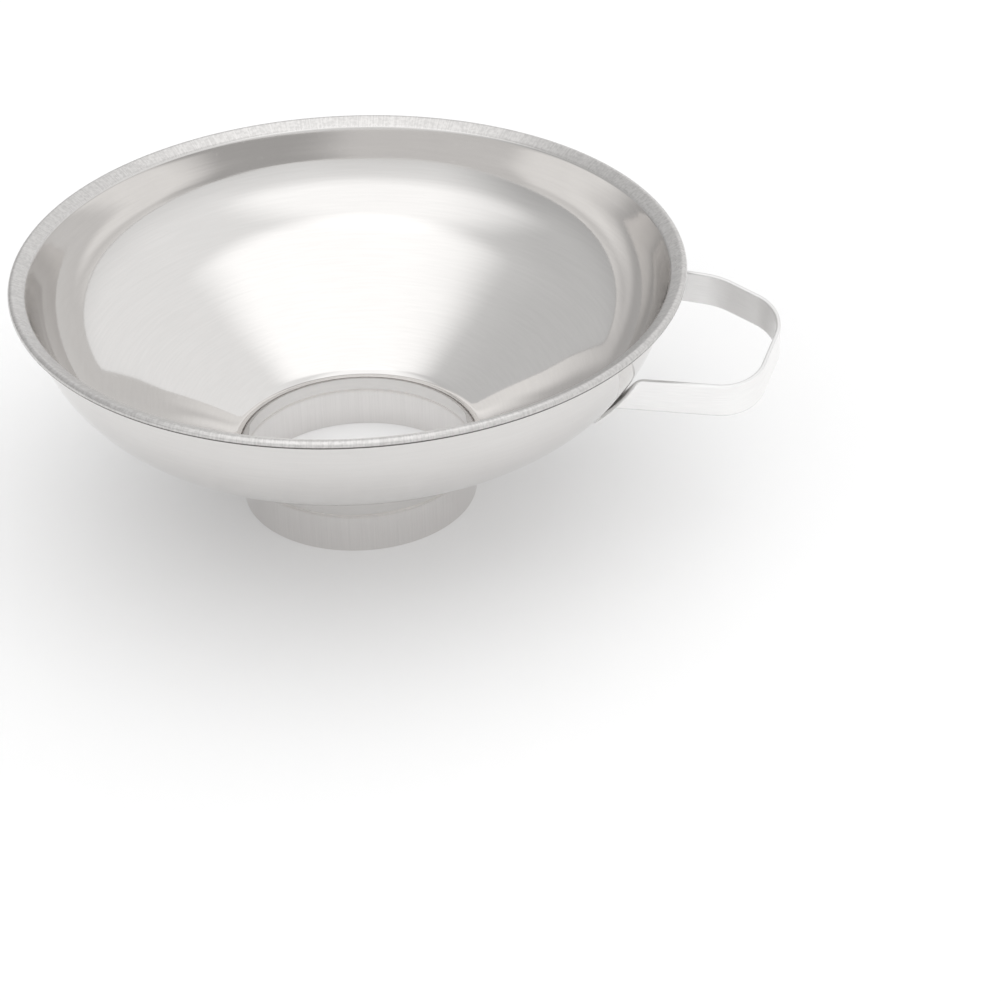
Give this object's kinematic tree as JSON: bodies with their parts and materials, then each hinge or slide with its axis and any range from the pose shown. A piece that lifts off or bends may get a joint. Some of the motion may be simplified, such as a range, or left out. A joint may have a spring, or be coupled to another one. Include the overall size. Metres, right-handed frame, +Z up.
{
  "type": "canning funnel",
  "caption": "Wide-mouth steel canning funnel: a sloping bowl with a rolled rim, a straight neck that sits in a jar's mouth, and a flat strap loop handle.",
  "frame": {"origin": "on the funnel's axis, in the plane of the neck's lower edge, which it stands on", "axes": "+Z up along the funnel's axis towards the rim; +X out through the middle of the handle"},
  "size_m": [0.1595, 0.14, 0.0558],
  "materials": {
    "bowl_steel": "polished, with a fine spun grain on the rim",
    "neck_steel": "satin polish",
    "handle_steel": "satin polish with bright sheared edges",
    "weld_steel": "dull spot weld"
  },
  "bodies": {
    "root": {"funnel_bowl": "bowl_steel", "neck_ring": "neck_steel", "loop_handle": "handle_steel", "handle_spot_welds": "weld_steel"}
  },
  "joints": []
}
